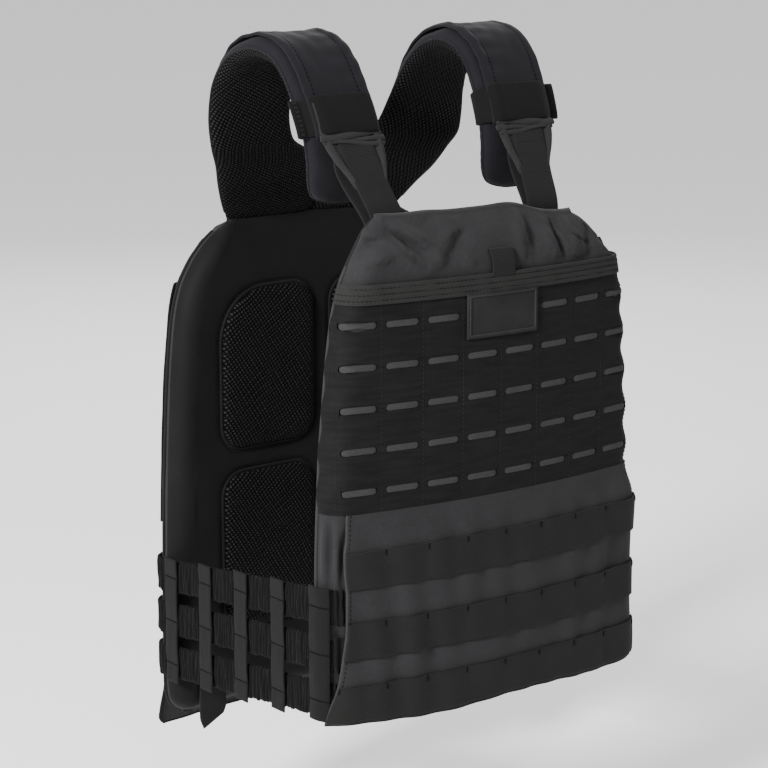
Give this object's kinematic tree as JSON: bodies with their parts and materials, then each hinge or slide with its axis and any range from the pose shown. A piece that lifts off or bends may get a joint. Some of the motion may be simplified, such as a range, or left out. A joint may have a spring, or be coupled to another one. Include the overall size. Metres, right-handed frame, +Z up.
{
  "type": "weighted vest",
  "caption": "Padded weighted vest of the plate carrier kind, with a slotted front panel, webbing rows, elastic side bands and adjustable padded shoulder straps.",
  "frame": {"origin": "middle of the line across the highest points of the undersides of both shoulder straps, where the vest rests on the shoulders", "axes": "+Z up, the front panel faces -Y, +X towards the wearer's left"},
  "size_m": [0.3388, 0.3091, 0.6213],
  "materials": {
    "cloth": "matte black coated pack cloth",
    "laminate": "flat black laser-cut laminate with a fine nap",
    "webbing": "black woven nylon webbing",
    "elastic": "black woven elastic, puckered across",
    "mesh": "black three-dimensional spacer mesh",
    "rubber": "blank dark grey moulded patch"
  },
  "bodies": {
    "root": {"back_carrier": "cloth", "back_flap": "cloth", "back_panel": "laminate", "blank_patch": "rubber", "cushion_lower_left": "mesh", "cushion_lower_right": "mesh", "cushion_upper_left": "mesh", "cushion_upper_right": "mesh", "flap_webbing_1": "webbing", "flap_webbing_2": "webbing", "flap_webbing_3": "webbing", "front_carrier": "cloth", "front_flap": "cloth", "hem_pull_left": "webbing", "hem_pull_right": "webbing", "keeper_tab_left": "elastic", "keeper_tab_right": "elastic", "panel_tape": "webbing", "pull_tab": "webbing", "side_band_left_1": "elastic", "side_band_left_2": "elastic", "side_band_left_3": "elastic", "side_band_right_1": "elastic", "side_band_right_2": "elastic", "side_band_right_3": "elastic", "side_strip_left_1": "webbing", "side_strip_left_2": "webbing", "side_strip_left_3": "webbing", "side_strip_left_4": "webbing", "side_strip_left_5": "webbing", "side_strip_right_1": "webbing", "side_strip_right_2": "webbing", "side_strip_right_3": "webbing", "side_strip_right_4": "webbing", "side_strip_right_5": "webbing", "slotted_panel": "laminate", "strap_anchor_left": "webbing", "strap_anchor_right": "webbing", "strap_cover_left": "cloth", "strap_cover_right": "cloth", "strap_keeper_left": "elastic", "strap_keeper_right": "elastic", "strap_pad_left": "mesh", "strap_pad_right": "mesh", "strap_tongue_left": "webbing", "strap_tongue_right": "webbing"}
  },
  "joints": []
}
